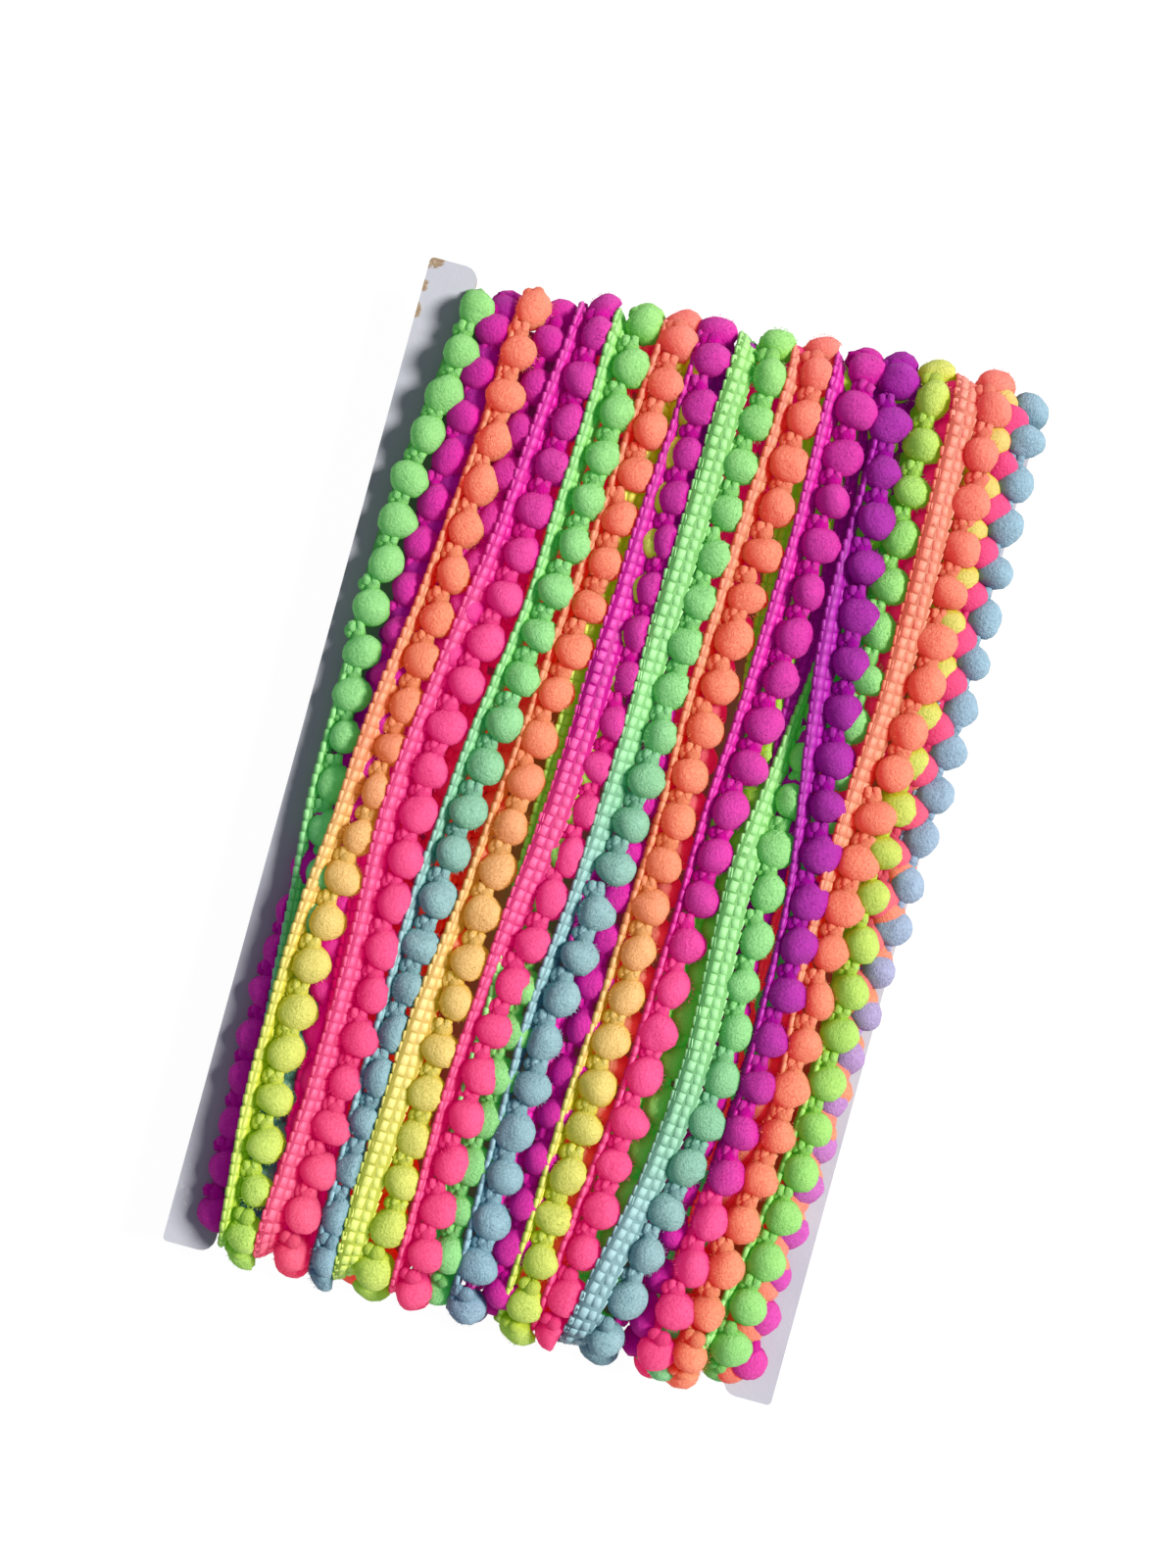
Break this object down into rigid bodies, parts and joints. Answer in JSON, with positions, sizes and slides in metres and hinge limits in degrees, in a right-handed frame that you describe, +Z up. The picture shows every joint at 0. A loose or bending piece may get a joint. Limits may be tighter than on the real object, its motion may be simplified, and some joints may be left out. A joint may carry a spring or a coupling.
{
  "type": "roll of pompom trim on a card",
  "caption": "Flat notched card wound lengthwise with braided pompom trim in neon colours that shade along its length, lying on its back.",
  "frame": {"origin": "centre of the bounding box, on the surface that the winding lies on", "axes": "+Y along the card towards its top end, +X across it towards the pompom side of the strands, +Z up out of the face that shows"},
  "size_m": [0.1408, 0.2272, 0.0277],
  "materials": {
    "card": "coated white-grey board with bare brown edges where it is chipped",
    "trim": "velvety pompoms on a knitted braid, neon colours shading along the length"
  },
  "bodies": {
    "root": {"card": "card", "winding": "trim"}
  },
  "joints": []
}
